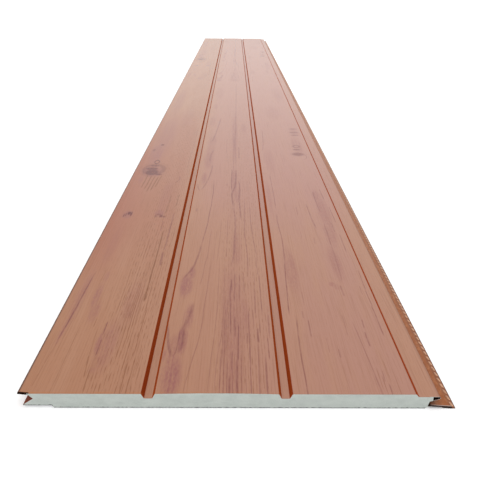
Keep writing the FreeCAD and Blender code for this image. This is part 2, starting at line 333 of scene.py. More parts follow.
# Purple lines that bend.
VEINS = (
    # Left plank: the long line by the edge, and a curl.
    Vein(1.3, 0.84, ((14, 82), (15.5, 115), (17, 150), (18.2, 190), (19, 225), (20.5, 258))),
    Vein(1.7, 0.80, ((88, 632), (91, 640), (94.5, 652), (95, 664), (93, 678))),
    # Middle plank: the flames, each a tip with legs that open away from the near end.
    Vein(2.6, 0.61, ((138, 57), (135, 68), (132, 84), (129.5, 102), (127.5, 126))),
    Vein(1.4, 0.66, ((138, 58), (140.5, 66), (141.7, 86), (142, 114))),
    Vein(
        3.4, 0.53,
        ((142, 62), (145.5, 76), (146.5, 96), (145.5, 114), (148, 132), (151, 150), (152.5, 174)),
    ),
    Vein(2.3, 0.56, ((133.5, 227), (137, 238), (141, 250), (145, 262), (148, 282), (151, 310), (154, 352))),
    Vein(
        1.5, 0.66,
        ((152.5, 325), (156.5, 390), (159, 440), (160.6, 495), (162, 555), (162.6, 605), (162.2, 658)),
    ),
    Vein(2.2, 0.41, ((138, 586), (134.5, 600), (131, 632))),
    Vein(2.4, 0.52, ((138.5, 586), (142.5, 602), (147, 629), (150, 656), (153, 694), (155, 765))),
    Vein(3.1, 0.45, ((147, 776), (148, 810), (150, 845), (155, 880))),
    Vein(
        2.9, 0.58,
        ((136, 933), (142, 944), (147, 962), (151, 1000), (154, 1050), (157, 1100), (163, 1235)),
    ),
    # Middle plank: the fine lines that bow round the flames.
    Vein(
        0.9, 0.45,
        ((153, -20), (156, 30), (159.5, 62), (162.5, 85), (164.3, 115), (165.5, 160), (170.5, 302)),
    ),
    Vein(
        0.8, 0.41,
        ((175.5, -20), (177, 35), (178.5, 75), (180, 120), (181, 160), (180.8, 230), (180.5, 304)),
    ),
    Vein(0.8, 0.37, ((182, -20), (183, 40), (185, 75), (187.5, 112), (188.5, 200), (188, 300))),
    Vein(0.9, 0.35, ((157.5, 210), (160, 245), (161.5, 276), (163.8, 308))),
    # Middle plank: the purple band near the second groove.
    Vein(1.2, 0.68, ((197, 95), (197, 130), (195.6, 165), (195.8, 195), (197, 230))),
    Vein(
        2.3, 0.53,
        ((197, 268), (199.5, 308), (201, 355), (202, 400), (201.6, 440), (200.2, 480), (198.5, 512)),
    ),
    Vein(
        2.8, 0.64,
        ((199.4, 492), (196.6, 545), (196.2, 572), (198.5, 592), (201.5, 612), (203, 645), (203.5, 730)),
    ),
    Vein(1.8, 0.65, ((195.5, 585), (195, 640), (195.5, 730))),
    Vein(2.4, 0.42, ((203.5, 715), (203, 800), (201.5, 900), (202, 1020), (203.5, 1180), (204.5, 1400))),
    Vein(1.8, 0.79, ((211, 436), (210.5, 480), (208.8, 545), (209.8, 600), (208, 656))),
    Vein(1.3, 0.54, ((217.5, 236), (218.5, 275), (217.8, 330), (216, 395), (217, 450), (217.5, 550))),
    Vein(1.2, 0.49, ((232.5, 282), (230, 335), (228, 378), (227, 425), (226.2, 526))),
    # Right plank: the line by the second groove, and a few loose ones.
    Vein(1.2, 0.63, ((269.8, -20), (269.2, 45), (269.6, 88), (270.6, 115), (271.8, 148))),
    Vein(1.2, 0.78, ((264, 140), (265, 178), (266.5, 218), (267.6, 252), (268.6, 292))),
    Vein(1.4, 0.58, ((268.8, 280), (270.8, 345), (270.4, 378), (269, 420), (270, 484))),
    Vein(1.4, 0.52, ((270, 486), (270.2, 560), (270.2, 640), (270, 704))),
    Vein(1.0, 0.38, ((338.5, -20), (336.5, 60), (333, 136))),
    Vein(1.7, 0.30, ((337, 222), (339, 255), (340, 292), (340.8, 352))),
    Vein(1.7, 0.51, ((327, 402), (325, 460), (322.5, 526))),
    Vein(1.4, 0.55, ((345, 797), (352, 805), (356, 815), (357, 828), (355, 842), (351, 856))),
    Vein(1.8, 0.51, ((263, 862), (268, 950), (271, 1090))),
)

# Mauve clouds.
CLOUDS = [Cloud(*row) for row in (
    # Left plank.
    (14.5, 108, 4, 36, 0.60),
    (16, 180, 8, 100, 0.52),
    (35, 188, 7, 44, 0.66),
    (37, 240, 5, 22, 0.40),
    (40, 150, 8, 34, 0.55),
    (58, 85, 4, 26, 0.80),
    (68, 82, 15, 66, 0.50),
    (62, 37, 5, 8, 0.50),
    (80, 175, 15, 80, 0.30),
    (26, 345, 10, 96, 0.28),
    (79, 560, 13, 116, 0.38),
    (27, 464, 12, 26, 0.80),
    (78, 473, 12, 24, 0.85),
    (21, 655, 6, 32, 0.66),
    (37, 708, 27, 54, 1.00),
    (29, 850, 20, 125, 1.00),
    (19, 870, 8, 62, 0.60),
    (22, 935, 8, 42, 0.43),
    (34, 1000, 30, 320, 0.58),
    (26, 1480, 20, 300, 0.52),
    # Middle plank.
    (140, 24, 13, 58, 1.00),
    (137, 54, 8, 18, 0.95),
    (138, 78, 10, 30, 0.60),
    (131, 62, 5, 16, 0.60),
    (146, 92, 8, 40, 1.00),
    (149, 138, 8, 40, 0.75),
    (140.5, 216, 11, 44, 1.00),
    (145.5, 250, 6, 26, 0.95),
    (137.5, 205, 4, 30, 0.50),
    (202, 40, 10, 70, 0.45),
    (198, 110, 19, 240, 0.48),
    (204, 330, 10, 95, 0.52),
    (211, 140, 10, 64, 0.42),
    (205, 560, 7, 54, 0.58),
    (200, 645, 7, 115, 0.78),
    (142, 665, 7, 54, 0.84),
    (146, 800, 13, 105, 0.68),
    (147, 880, 13, 210, 0.46),
    (149, 960, 13, 74, 0.66),
    (201, 1050, 10, 325, 0.74),
    (224, 1100, 10, 74, 0.60),
    (144, 1395, 9, 60, 0.48),
    # Right plank.
    (276, 262, 12, 96, 0.58),
    (324, 221, 6, 9, 0.60),
    (329, 214, 6, 12, 0.38),
    (338, 285, 11, 76, 0.52),
    (346, 385, 12, 66, 0.52),
    (349, 480, 13, 125, 0.62),
    (346, 565, 9, 44, 0.70),
    (262, 560, 6, 125, 0.41),
    (341, 848, 18, 28, 0.84),
    (346, 925, 17, 110, 0.70),
    (350, 1060, 16, 64, 0.62),
    # All planks, faint and far along.
    (140, 1180, 12, 90, 0.48),
    (150, 1640, 20, 160, 0.43),
    (310, 1300, 30, 140, 0.36),
    (345, 1620, 24, 180, 0.41),
    (275, 800, 14, 120, 0.41),
    (70, 1250, 26, 180, 0.26),
)]

# Knots, each drawn from several dark ovals and rings.
KNOTS = [Knot(*row) for row in (
    # Left plank, small, by the edge and by the groove.
    (20.9, 461, 1.5, 9, 0.75, 0),
    (24, 465, 1.5, 9, 0.75, 0),
    (28.6, 471, 3.6, 9, 1.00, 0),
    (32.6, 468, 1.9, 12, 0.95, 0),
    (73, 458, 2.2, 7, 0.45, 0),
    (77.5, 466, 5.0, 5, 0.45, 0),
    (82, 459, 3.4, 7, 0.90, 0),
    (87, 456, 2.8, 4.5, 0.65, 0),
    # Left plank, large, and two specks past it.
    (36, 702, 17, 25, 1.00, 0),
    (50, 688, 10, 7, 0.85, 0),
    (33, 727, 16, 12, 0.95, 0),
    (36, 749, 13, 9, 0.80, 0),
    (38, 722, 27, 46, 0.45, 1),
    (38, 777, 7, 17, 0.95, 1),
    (20, 874, 4, 12, 0.50, 0),
    (33.5, 921, 5, 10, 0.80, 0),
    # Right plank, a row.
    (341, 846, 17, 15, 0.55, 0),
    (341, 886, 10, 8, 0.60, 0),
    (343, 915, 9, 13, 0.60, 1),
    (350, 1026, 13, 9, 0.40, 0),
    (350, 1056, 14, 10, 0.45, 0),
    (352, 1096, 14, 10, 0.36, 0),
)]


def colour(name, description, default):
    """A colour that a user can change, as linear red, green and blue."""
    return bpy.props.FloatVectorProperty(
        name=name, description=description, default=default, subtype="COLOR", size=3, min=0.0, max=1.0
    )


def share(name, description, default):
    """A share from 0 to 1 that a user can change."""
    return bpy.props.FloatProperty(
        name=name, description=description, default=default, subtype="FACTOR", min=0.0, max=1.0
    )


def length(name, description, default):
    """A length in metres that a user can change."""
    return bpy.props.FloatProperty(
        name=name, description=description, default=default, unit="LENGTH", min=0.0, precision=5
    )


def angle(name, description, degrees):
    """An angle that a user can change, given here in degrees."""
    return bpy.props.FloatProperty(
        name=name, description=description, default=math.radians(degrees), unit="ROTATION"
    )


def level(name, description, default, unit="NONE"):
    """A strength from 0 up that a user can change."""
    return bpy.props.FloatProperty(name=name, description=description, default=default, unit=unit, min=0.0)


class PrintSettings(bpy.types.PropertyGroup):
    """Colours and gloss of the printed steel face"""

    tan: colour("Tan", "Plain wood at the lip's side", (0.368, 0.170, 0.094))
    rose: colour("Rose", "Pinker plain wood at the flange's side", (0.390, 0.194, 0.144))
    # Painted reflection: this rosier tone stands for the gloss that grows away from the near end.
    pink_reflection: colour("Pink", "Wood of the middle and right planks, away from the near end", (0.394, 0.186, 0.166))
    straw: colour("Straw", "Pale broad zones of the wood", (0.404, 0.205, 0.124))
    fibre: colour("Fibre", "Brown of the fine grain", (0.180, 0.056, 0.016))
    russet: colour("Russet", "Redder wood round the knots of the lip's side", (0.310, 0.085, 0.050))
    mauve: colour("Mauve", "Soft clouds of the print", (0.252, 0.082, 0.078))
    ink: colour("Ink", "Purple-brown of lines and flames", (0.134, 0.023, 0.030))
    knot: colour("Knot", "Dark red-brown of the knots", (0.092, 0.000, 0.006))
    # Painted shade: this red-brown on steep groove walls and the step stands for the shade and
    # inter-reflection in the grooves.
    wall_shade: colour("Wall", "Bare red-brown coat on groove walls and the step", (0.262, 0.020, 0.000))
    flange: colour("Flange", "Base coat on the nailing flange", (0.286, 0.080, 0.017))
    amber: colour("Amber", "Paler blotches of that coat, and the rim of the cut end", (0.400, 0.145, 0.050))
    # Painted shade: this brown on the folded outer edges, the shelf's nose and between the crimps.
    shade: colour("Shade", "Brown of the folded outer edges", (0.080, 0.036, 0.026))
    # Partly painted shade: the notch is painted darker and redder than the face, for the shade under the lip.
    notch: colour("Notch", "Dull red coat in the notch", (0.200, 0.045, 0.036))
    steel: colour("Steel", "Bare cut steel round the tongue", (0.620, 0.600, 0.580))
    # Painted shade: this near-dark colour inside the hems, deep in the V and on the ends of the lip and
    # flange, darker than the grey backing coat that is really inside the hems.
    hollow: colour("Hollow", "Deep inside of the hems, and burnt edges of the cut", (0.012, 0.010, 0.012))
    backing: colour("Backing", "Grey coat on the side away from the print", (0.085, 0.082, 0.085))
    gloss: share("Gloss", "Roughness of the clear paint", 0.18)
    satin: share("Satin", "Roughness of the coat on the flange", 0.32)
    matt: share("Matt", "Roughness of the coat on steep walls", 0.90)
    sheen: share("Sheen", "Strength of the soft shine at flat angles", 0.22)
    sheen_tint: colour("Sheen tint", "Colour of that soft shine", (1.0, 0.3, 0.02))
    roll_repeat: length("Roll repeat", "Length after which the print roller repeats", 1.900)


class CrimpSettings(bpy.types.PropertyGroup):
    """Pressed crimps along the nailing flange"""

    pitch: length("Pitch", "Distance between crimps along the flange", 0.0095)
    length: length("Length", "Length of one crimp along the flange", 0.0072)
    width: length("Width", "Width of one crimp", 0.0021)
    slant: share("Slant", "Run of a crimp towards the edge for its length towards the near end", 0.22)
    height: length("Height", "Height of a crimp above the flange", 0.00030)
    edge: length("Edge", "Distance from the flange's edge to the middle of a crimp", 0.0025)
    # Painted highlight: the crimps are painted pale for the light they catch.
    paint: colour("Paint", "Stretched pale paint on the crimps", (0.600, 0.330, 0.205))


class LayerSettings(bpy.types.PropertyGroup):
    """Colours of the foam core and the foil back"""

    foam: colour("Foam", "Cut face of the rigid foam", (0.560, 0.600, 0.560))
    foam_shade: colour("Foam shade", "Hollow cells of the foam", (0.430, 0.470, 0.440))
    # Partly painted shadow: the dark line along the foam's lower edge is the foil's torn edge and a painted
    # contact shadow with the floor.
    torn: colour("Torn edge", "Torn backing along the foam's lower edge", (0.060, 0.066, 0.064))
    cell: length("Cell", "Size of a foam cell on the cut face", 0.0009)
    foil: colour("Foil", "Aluminium foil on the back", (0.700, 0.710, 0.720))
    crease: length("Crease", "Distance between creases of the foil", 0.0160)


class StageSettings(bpy.types.PropertyGroup):
    """Camera, lamps and floor"""

    camera_back: length("Camera back", "Distance from the near end back to the camera", 0.4568)
    camera_up: length("Camera up", "Height of the camera above the floor", 0.3656)
    camera_side: bpy.props.FloatProperty(
        name="Camera side",
        description="Camera's offset across the panel",
        default=-0.0048,
        unit="LENGTH",
        precision=5,
    )
    yaw: angle("Yaw", "Turn of the camera to the right", 0.64)
    pitch: angle("Pitch", "Downward tilt of the camera", 23.13)
    roll: angle("Roll", "Roll of the camera", 0.54)
    lens: level("Lens", "Focal length on a 36 mm sensor", 45.315, "CAMERA")
    sky: level("Sky", "Level of the even light from all round", 0.55)
    lamp: level("Lamp", "Strength of the soft lamp overhead", 1.7)
    fill: level("Fill", "Power of the wide fill lamp over the far half", 7.5, "POWER")
    floor: colour("Floor", "Pale floor", (0.86, 0.86, 0.86))


class Sheet:
    """A shader tree being drawn: each method adds one node or a few and gives back the output socket."""

    def __init__(self, tree):
        self.tree = tree

    def feed(self, socket, value):
        """Links a socket to another, or sets its value."""
        if isinstance(value, bpy.types.NodeSocket):
            self.tree.links.new(value, socket)
        elif socket.type == "RGBA":
            socket.default_value = (*value, 1.0)
        else:
            socket.default_value = value

    def node(self, kind, inputs, **settings):
        """Adds a node with these settings and feeds its inputs by name or number."""
        made = self.tree.nodes.new(kind)
        for name, value in settings.items():
            setattr(made, name, value)
        for key, value in inputs.items():
            self.feed(made.inputs[key], value)
        return made

    def math(self, operation, *values):
        """One step of arithmetic."""
        return self.node("ShaderNodeMath", dict(enumerate(values)), operation=operation).outputs[0]

    def total(self, operation, values):
        """Many values brought to one by the same step of arithmetic."""
        result = values[0]
        for value in values[1:]:
            result = self.math(operation, result, value)
        return result

    def times(self, *values):
        """The values multiplied: for masks, 1 where all of them are 1."""
        return self.total("MULTIPLY", values)

    def largest(self, *values):
        """The largest of the values: for masks, 1 where any of them is 1."""
        return self.total("MAXIMUM", values)

    def plus(self, first, second):
        """The sum of two values."""
        return self.math("ADD", first, second)

    def minus(self, first, second):
        """The first value less the second."""
        return self.math("SUBTRACT", first, second)

    def unsigned(self, value):
        """A value without its sign."""
        return self.math("ABSOLUTE", value)

    def off(self, value, middle):
        """How far a value is from a middle, to either side."""
        return self.unsigned(self.minus(value, middle))

    def fade(self, value, start, end):
        """A smooth step from 0 at start to 1 at end; start may be the larger one."""
        inputs = {"Value": value, "From Min": start, "From Max": end}
        settings = {"interpolation_type": "SMOOTHSTEP", "clamp": False}
        return self.node("ShaderNodeMapRange", inputs, **settings).outputs["Result"]

    def line(self, value, start, end, low, high):
        """A straight line from low at start to high at end, carried on past both."""
        inputs = {"Value": value, "From Min": start, "From Max": end, "To Min": low, "To Max": high}
        return self.node("ShaderNodeMapRange", inputs, clamp=False).outputs["Result"]

    def ramp(self, mask, low, high):
        """A number that is low where a mask is 0 and high where it is 1."""
        return self.line(mask, 0.0, 1.0, low, high)

    def between(self, value, low, high, soft):
        """1 between low and high, and 0 a soft edge outside them."""
        return self.times(self.fade(value, low - soft, low), self.fade(value, high + soft, high))

    def mix(self, amount, first, second):
        """First colour at amount 0, second at amount 1."""
        return self.node("ShaderNodeMix", {0: amount, 6: first, 7: second}, data_type="RGBA").outputs[2]

    def place(self, unit, origin=(0.0, 0.0, 0.0)):
        """Object coordinates counted in a unit, moved to an origin."""
        coordinates = self.node("ShaderNodeTexCoord", {}).outputs["Object"]
        scale = 1.0 / unit
        inputs = {"Vector": coordinates, "Location": origin, "Scale": (scale, scale, scale)}
        return self.node("ShaderNodeMapping", inputs).outputs["Vector"]

    def facing(self):
        """The three parts of the direction that the face itself looks in."""
        return self.split(self.node("ShaderNodeNewGeometry", {}).outputs["True Normal"])

    def split(self, vector):
        """The three parts of a vector."""
        return list(self.node("ShaderNodeSeparateXYZ", {"Vector": vector}).outputs)

    def join(self, x, y, z):
        """A vector from three parts."""
        return self.node("ShaderNodeCombineXYZ", {"X": x, "Y": y, "Z": z}).outputs["Vector"]

    def blotches(self, vector, size, detail=2.0, roughness=0.5):
        """Noise from 0 to 1 whose blotches are as large as size says, each way."""
        scale = tuple(1.0 / s for s in size)
        scaled = self.node("ShaderNodeMapping", {"Vector": vector, "Scale": scale}).outputs["Vector"]
        inputs = {"Vector": scaled, "Scale": 1.0, "Detail": detail, "Roughness": roughness}
        return self.node("ShaderNodeTexNoise", inputs).outputs["Fac"]

    def curve(self, value, points):
        """A smooth curve through points whose two parts both lie from 0 to 1."""
        made = self.node("ShaderNodeFloatCurve", {"Value": value})
        line = made.mapping.curves[0]
        line.points[0].location = points[0]
        line.points[1].location = points[-1]
        for place in points[1:-1]:
            line.points.new(*place)
        made.mapping.update()
        return made.outputs["Value"]

    def bump(self, height, strength, distance):
        """A bumped normal from a height."""
        inputs = {"Height": height, "Strength": strength, "Distance": distance}
        return self.node("ShaderNodeBump", inputs).outputs["Normal"]


def node_group(name, inputs, draw):
    """A node group with number sockets and one result, drawn by a function of the inputs."""
    group = bpy.data.node_groups.new(name, "ShaderNodeTree")
    for label in inputs:
        group.interface.new_socket(label, in_out="INPUT", socket_type="NodeSocketFloat")
    group.interface.new_socket("Mask", in_out="OUTPUT", socket_type="NodeSocketFloat")
    inside = Sheet(group)
    start = group.nodes.new("NodeGroupInput")
    end = group.nodes.new("NodeGroupOutput")
    sockets = [start.outputs[label] for label in inputs]
    inside.feed(end.inputs["Mask"], draw(inside, *sockets))
    return group


def ends_faded(sheet, progress):
    """1 along the middle of a line, falling to 0 at both ends."""
    return sheet.fade(sheet.minus(0.5, sheet.off(progress, 0.5)), 0.0, LINE_END)


def draw_streak(sheet, x, y, x_near, x_far, near, far, half_width, ink):
    """1 on a straight line, 0 half a width off, and faded at both ends."""
    middle = sheet.line(y, near, far, x_near, x_far)
    across = sheet.fade(sheet.off(x, middle), half_width, 0.0)
    along = ends_faded(sheet, sheet.line(y, near, far, 0.0, 1.0))
    return sheet.times(across, along, ink)


def draw_vein(sheet, x, y, vein):
    """1 on a smooth curve through the vein's places, 0 half a width off, and faded at both ends."""
    near = vein.places[0][1]
    far = vein.places[-1][1]
    progress = sheet.line(y, near, far, 0.0, 1.0)
    route = [((along - near) / (far - near), across / PRINT_WIDTH) for across, along in vein.places]
    middle = sheet.times(sheet.curve(progress, route), PRINT_WIDTH)
    across = sheet.fade(sheet.off(x, middle), vein.half_width, 0.0)
    return sheet.times(across, ends_faded(sheet, progress), vein.ink)


def oval_distance(sheet, x, y, across, along, half_width, half_length):
    """0 in the middle of an oval and 1 on its rim."""
    right = sheet.math("DIVIDE", sheet.minus(x, across), half_width)
    ahead = sheet.math("DIVIDE", sheet.minus(y, along), half_length)
    return sheet.math("SQRT", sheet.plus(sheet.times(right, right), sheet.times(ahead, ahead)))


def draw_cloud(sheet, x, y, across, along, half_width, half_length, ink):
    """1 in the middle of an oval, falling smoothly to 0 at its rim."""
    distance = oval_distance(sheet, x, y, across, along, half_width, half_length)
    return sheet.times(sheet.fade(distance, 1.0, CLOUD_HEART), ink)


def draw_knot(sheet, x, y, across, along, half_width, half_length, ink, pale):
    """A dark heart in an oval, or a dark rim round a pale heart, with a faint ring outside it."""
    distance = oval_distance(sheet, x, y, across, along, half_width, half_length)
    heart = sheet.fade(distance, 1.0, KNOT_HEART)
    rim = sheet.fade(sheet.off(distance, KNOT_RIM), 0.30, 0.05)
    ring = sheet.fade(sheet.off(distance, KNOT_RING), 0.16, 0.0)
    inside = sheet.ramp(pale, heart, rim)
    return sheet.times(sheet.largest(inside, sheet.times(ring, KNOT_RING_SHARE)), ink)


def stamp(sheet, group, x, y, features):
    """The strongest of many copies of a node group, one for each feature, all fed the same place."""
    strongest = 0.0
    for feature in features:
        values = dict(enumerate((x, y, *map(float, feature))))
        mask = sheet.node("ShaderNodeGroup", values, node_tree=group).outputs["Mask"]
        strongest = sheet.largest(strongest, mask)
    return strongest


def new_material(name):
    """An empty material with a Principled shader, its sheet and that shader."""
    material = bpy.data.materials.new(name)
    material.use_nodes = True
    sheet = Sheet(material.node_tree)
    return material, sheet, material.node_tree.nodes["Principled BSDF"]


def dress(node, material):
    """Gives a CAD node its finish."""
    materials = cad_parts[node].data.materials
    materials.clear()
    materials.append(material)


def print_place(sheet):
    """Millimetres across, along and up, as the print is laid out."""
    return sheet.place(MM, PRINT_ORIGIN)


def dimmed(tone, brightness):
    """A colour at a share of its brightness."""
    return tuple(brightness * part for part in tone)


def plain_wood(sheet, place, settings):
    """Wood without figure: tones across and along the panel, the rosier one a painted reflection, pale zones
    and rows of fine brown pores.

    Gives back the colour and the strength of the pores.
    """
    x, y, _ = sheet.split(place)
    drift = sheet.minus(sheet.blotches(place, DRIFT_SIZE), 0.5)
    grain_x = sheet.plus(x, sheet.times(drift, DRIFT_REACH))
    grain = sheet.join(grain_x, y, 0.0)
    wood = sheet.mix(sheet.fade(x, *ROSE_X), settings.tan, settings.rose)
    zones = sheet.fade(sheet.blotches(grain, ZONE_SIZE, 3.0), 0.40, 0.68)
    wood = sheet.mix(sheet.times(zones, STRAW_SHARE), wood, settings.straw)
    wood = sheet.mix(sheet.times(sheet.fade(x, *SHELF_X), SHELF_STRAW_SHARE), wood, settings.straw)
    # Painted reflection: the middle and right planks turn rosier away from the near end, standing for the
    # gloss that grows along the panel.
    painted_far_reflection = sheet.times(sheet.fade(x, *PINK_X), sheet.fade(y, *PINK_Y))
    wood = sheet.mix(sheet.times(painted_far_reflection, PINK_SHARE), wood, settings.pink_reflection)
    for zone in RUSSET_ZONES:
        redder = sheet.times(sheet.fade(x, *zone.across), sheet.between(y, *zone.along))
        wood = sheet.mix(sheet.times(redder, zone.share), wood, settings.russet)

    # The pores stand in rows, one to each yearly ring, and crowd together in bands and on the left plank.
    rows = sheet.math("SINE", sheet.times(grain_x, 2.0 * math.pi / RING_PITCH))
    rows = sheet.fade(rows, -0.2, 0.9)
    dashes = sheet.fade(sheet.blotches(grain, PORE_SIZE), 0.42, 0.64)
    bands = [sheet.fade(sheet.off(x, band.middle), band.outer, band.inner) for band in PORE_BANDS]
    crowd = sheet.ramp(sheet.largest(*bands), 0.30, 1.0)
    crowd = sheet.times(crowd, sheet.ramp(sheet.fade(x, *LEFT_PLANK_X), 1.0, 1.45))
    pores = sheet.times(rows, dashes, sheet.times(crowd, PORE_SHARE))
    fibre = sheet.fade(sheet.blotches(grain, FIBRE_SIZE, 4.0, 0.65), 0.46, 0.76)
    strands = sheet.largest(pores, sheet.times(fibre, FIBRE_SHARE))
    return sheet.mix(strands, wood, settings.fibre), strands


def figured_wood(sheet, place, wood, settings):
    """The wood's figure over a plain colour: mauve clouds, then lines of pores, dark lines and knots."""
    x, y, _ = sheet.split(place)
    wander = sheet.minus(sheet.blotches(place, WANDER_SIZE), 0.5)
    figure_x = sheet.plus(x, sheet.times(wander, WANDER_REACH))
    rolled_y = sheet.math("FLOORED_MODULO", y, settings.roll_repeat / MM)
    streak = node_group("streak", ["X", "Y", *Streak._fields], draw_streak)
    cloud = node_group("cloud", ["X", "Y", *Cloud._fields], draw_cloud)
    knot = node_group("knot", ["X", "Y", *Knot._fields], draw_knot)

    # Clouds are torn into strips along the grain, and flecked.
    strips = sheet.fade(sheet.blotches(place, STRIP_SIZE, 3.0, 0.6), 0.34, 0.62)
    flecks = sheet.fade(sheet.blotches(place, FLECK_SIZE), 0.40, 0.62)
    torn = sheet.plus(sheet.times(strips, 0.35), sheet.times(flecks, 0.35))
    clouds = stamp(sheet, cloud, figure_x, rolled_y, CLOUDS)
    clouds = sheet.times(clouds, sheet.plus(torn, 0.25))
    wood = sheet.mix(clouds, wood, settings.mauve)

    # Lines break up into dashes, knots hardly at all.
    dashes = sheet.fade(sheet.blotches(place, DASH_SIZE), 0.36, 0.58)
    pores = stamp(sheet, streak, figure_x, rolled_y, PORES)
    wood = sheet.mix(sheet.times(pores, sheet.ramp(dashes, 0.68, 1.25)), wood, settings.fibre)
    lines = stamp(sheet, streak, figure_x, rolled_y, STREAKS)
    for vein in VEINS:
        lines = sheet.largest(lines, draw_vein(sheet, figure_x, rolled_y, vein))
    wood = sheet.mix(sheet.times(lines, sheet.ramp(dashes, 0.55, 1.0)), wood, settings.ink)
    knots = stamp(sheet, knot, figure_x, rolled_y, KNOTS)
    return sheet.mix(sheet.times(knots, sheet.ramp(dashes, 0.80, 1.1)), wood, settings.knot)


def painted_hollow_shade(sheet, x, z):
    """1 where the hollows are painted as shade: inside the open lip and the open tongue, and deep in the V
    below the tongue.
    """
    lip_z = sheet.minus(z, sheet.line(x, LIP_ROOT_X, LIP_END_X, 0.0, LIP_RISE))
    lip = sheet.times(sheet.between(lip_z, *LIP_HOLLOW_Z), sheet.fade(x, *LIP_HOLLOW_X))
    tongue_z = sheet.minus(z, sheet.line(x, TONGUE_END_X, TONGUE_ROOT_X, 0.0, -TONGUE_FALL))
    tongue = sheet.times(sheet.fade(tongue_z, *TONGUE_LAYER_Z), sheet.between(x, *TONGUE_HOLLOW_X))
    tongue = sheet.times(tongue, sheet.fade(z, *SHELF_UNDER_Z))
    vee = sheet.times(sheet.between(x, *VEE_X), sheet.fade(z, *VEE_Z))
    return sheet.largest(lip, tongue, vee)


def coat_and_painted_shade(sheet, wood, place, settings):
    """The flange's base coat, and painted shade where the section folds: steep walls and the step get dark
    red-brown for the shade in the grooves, the notch goes darker and redder partly as shade under the lip,
    and brown shade lies on the folded outer edges, the shelf's nose and between the crimps.

    Gives back the colour, and where the walls, the notch and the flange are.
    """
    x, _, z = sheet.split(place)
    # Painted shade: steep faces and the step get a dark red-brown for the shade and inter-reflection in the
    # grooves.
    steep = sheet.fade(sheet.unsigned(sheet.facing()[0]), *STEEP_TILT)
    step = sheet.times(sheet.between(x, *STEP_SHADE_X), sheet.fade(z, *SHELF_Z))
    walls = sheet.largest(steep, step)
    wood = sheet.mix(walls, wood, settings.wall_shade)
    flange = sheet.times(sheet.fade(z, *FLANGE_Z), sheet.fade(x, *FLANGE_X))
    blotchy = sheet.fade(sheet.blotches(place, BLOTCH_SIZE, 3.0), 0.40, 0.78)
    wood = sheet.mix(flange, wood, sheet.mix(blotchy, settings.flange, settings.amber))
    # Painted shade between the crimps and on the shelf's rounded nose.
    pressed = sheet.times(flange, sheet.between(x, *FLANGE_PRESSED_X))
    rolled = sheet.times(sheet.fade(x, *SHELF_NOSE_X), sheet.fade(z, *SHELF_Z))
    painted_shade_bands = sheet.times(sheet.largest(pressed, rolled), 0.34)
    wood = sheet.mix(painted_shade_bands, wood, settings.shade)
    # Partly painted shade: the notch darker and redder, for the shade under the lip.
    notch = sheet.times(sheet.fade(x, *NOTCH_X), sheet.fade(z, *NOTCH_Z))
    wood = sheet.mix(notch, wood, settings.notch)
    # Painted shade along the lip's rolled nose and the flange's folded outer edge.
    edges = sheet.largest(sheet.fade(x, *LIP_EDGE_SHADE_X), sheet.fade(x, *FLANGE_EDGE_SHADE_X))
    wood = sheet.mix(edges, wood, settings.shade)
    return wood, walls, notch, flange


def cut_ends(sheet, wood, place, settings):
    """The cut ends of the steel: a patchy amber rim on the planks, bare steel on the tongue's cut, a painted
    glint on the flange, and painted shade on the ends of the lip and flange.

    Gives back the colour and where the ends are painted as shade.
    """
    x, y, z = sheet.split(place)
    from_end = sheet.math("MINIMUM", y, sheet.minus(PANEL_LENGTH / MM, y))
    patches = sheet.line(sheet.blotches(place, PATCH_SIZE, 3.0), 0.35, 0.65, 0.15, 0.60)
    planks = sheet.times(sheet.fade(x, *RIM_X), sheet.fade(z, *RIM_Z))
    rim = sheet.times(sheet.fade(from_end, *RIM_REACH), patches, planks)
    wood = sheet.mix(rim, wood, settings.amber)
    cut = sheet.fade(sheet.unsigned(sheet.facing()[1]), *CUT_TILT)
    tongue = sheet.times(cut, sheet.fade(x, *TONGUE_CUT_X), sheet.fade(z, *TONGUE_CUT_Z))
    wood = sheet.mix(tongue, wood, settings.steel)
    # Painted shade: the lip's and the flange's surfaces near the cut end go near-dark, widening the shade of
    # their open ends.
    lip = sheet.times(sheet.fade(x, *LIP_END_SHADE_X), sheet.fade(z, *LIP_END_SHADE_Z))
    flange = sheet.times(sheet.between(x, *FLANGE_END_SHADE_X), sheet.fade(z, *FLANGE_END_SHADE_Z))
    # Painted highlight: a pale glint on the flange just behind its painted shade.
    glint = sheet.times(flange, sheet.between(from_end, *GLINT_REACH))
    wood = sheet.mix(sheet.times(glint, 0.6), wood, settings.steel)
    painted_end_shade = sheet.times(sheet.largest(lip, flange), sheet.fade(from_end, *END_SHADE_REACH))
    return wood, painted_end_shade


